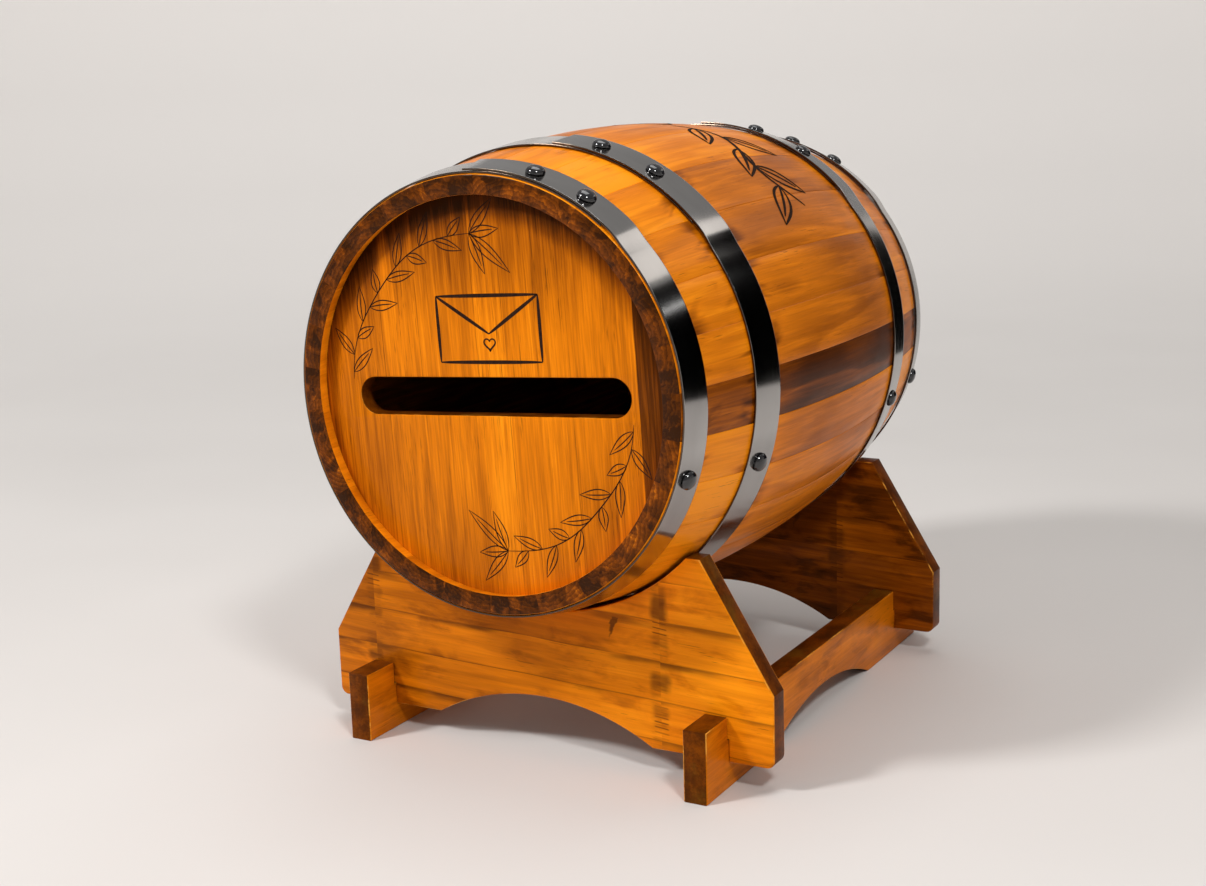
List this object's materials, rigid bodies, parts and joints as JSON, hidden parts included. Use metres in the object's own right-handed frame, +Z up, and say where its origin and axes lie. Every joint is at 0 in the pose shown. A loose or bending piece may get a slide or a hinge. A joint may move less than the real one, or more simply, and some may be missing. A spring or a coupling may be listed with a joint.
{
  "type": "barrel wedding card box",
  "caption": "Small wooden barrel on its side in a knock-down cradle, with a card slot in the front head and a hinged, hasped door in the rear head.",
  "frame": {"origin": "centre of the bounding box in X and Y, on the surface the cradle stands on", "axes": "+Z up, +X to the right seen from the front, +Y from the card slot towards the rear door, along the barrel's axis"},
  "size_m": [0.326, 0.394, 0.3975],
  "materials": {
    "stave_wood": "amber-orange stained pine, glossy lacquer, dark brown end grain",
    "head_wood": "amber stained edge-glued boards, satin lacquer",
    "cradle_wood": "amber-brown stained finger-jointed board, satin lacquer, rubbed edges",
    "hoop_steel": "polished strip steel",
    "rivet_black": "glossy black round-head rivet",
    "hardware_brass": "aged brass"
  },
  "bodies": {
    "cradle": {"saddle_front": "cradle_wood", "saddle_rear": "cradle_wood", "rail_left": "cradle_wood", "rail_right": "cradle_wood"},
    "barrel": {"stave_01": "stave_wood", "stave_02": "stave_wood", "stave_03": "stave_wood", "stave_04": "stave_wood", "stave_05": "stave_wood", "stave_06": "stave_wood", "stave_07": "stave_wood", "stave_08": "stave_wood", "stave_09": "stave_wood", "stave_10": "stave_wood", "stave_11": "stave_wood", "stave_12": "stave_wood", "stave_13": "stave_wood", "stave_14": "stave_wood", "stave_15": "stave_wood", "stave_16": "stave_wood", "stave_17": "stave_wood", "stave_18": "stave_wood", "stave_19": "stave_wood", "stave_20": "stave_wood", "stave_21": "stave_wood", "stave_22": "stave_wood", "stave_23": "stave_wood", "stave_24": "stave_wood", "stave_25": "stave_wood", "stave_26": "stave_wood", "hoop_front_end": "hoop_steel", "hoop_front_inner": "hoop_steel", "hoop_rear_inner": "hoop_steel", "hoop_rear_end": "hoop_steel", "rivet_front_end_1": "rivet_black", "rivet_front_end_2": "rivet_black", "rivet_front_end_3": "rivet_black", "rivet_front_inner_1": "rivet_black", "rivet_front_inner_2": "rivet_black", "rivet_front_inner_3": "rivet_black", "rivet_rear_inner_1": "rivet_black", "rivet_rear_inner_2": "rivet_black", "rivet_rear_inner_3": "rivet_black", "rivet_rear_end_1": "rivet_black", "rivet_rear_end_2": "rivet_black", "rivet_rear_end_3": "rivet_black", "front_head": "head_wood", "rear_head": "head_wood", "hinge_upper_head_leaf": "hardware_brass", "hinge_upper_pin": "hardware_brass", "hinge_lower_head_leaf": "hardware_brass", "hinge_lower_pin": "hardware_brass", "hasp_staple": "hardware_brass"},
    "rear_door": {"rear_door": "head_wood", "hinge_upper_door_leaf": "hardware_brass", "hinge_lower_door_leaf": "hardware_brass", "hasp_door_leaf": "hardware_brass", "hasp_pin": "hardware_brass"},
    "hasp_strap": {"hasp_strap": "hardware_brass"}
  },
  "joints": [
    {"name": "barrel_lift", "type": "slide", "parent": "cradle", "child": "barrel", "axis": [0, 0, 1], "range_m": [0, 0.12]},
    {"name": "rear_door_hinge", "type": "hinge", "parent": "barrel", "child": "rear_door", "pos_m": [0.0744, 0.1909, 0.2474], "axis": [0.0523, 0, -0.9986], "range_deg": [0, 160]},
    {"name": "hasp_strap_hinge", "type": "hinge", "parent": "rear_door", "child": "hasp_strap", "pos_m": [-0.05393, 0.1909, 0.24067], "axis": [0.0523, 0, -0.9986], "range_deg": [0, 178]}
  ]
}
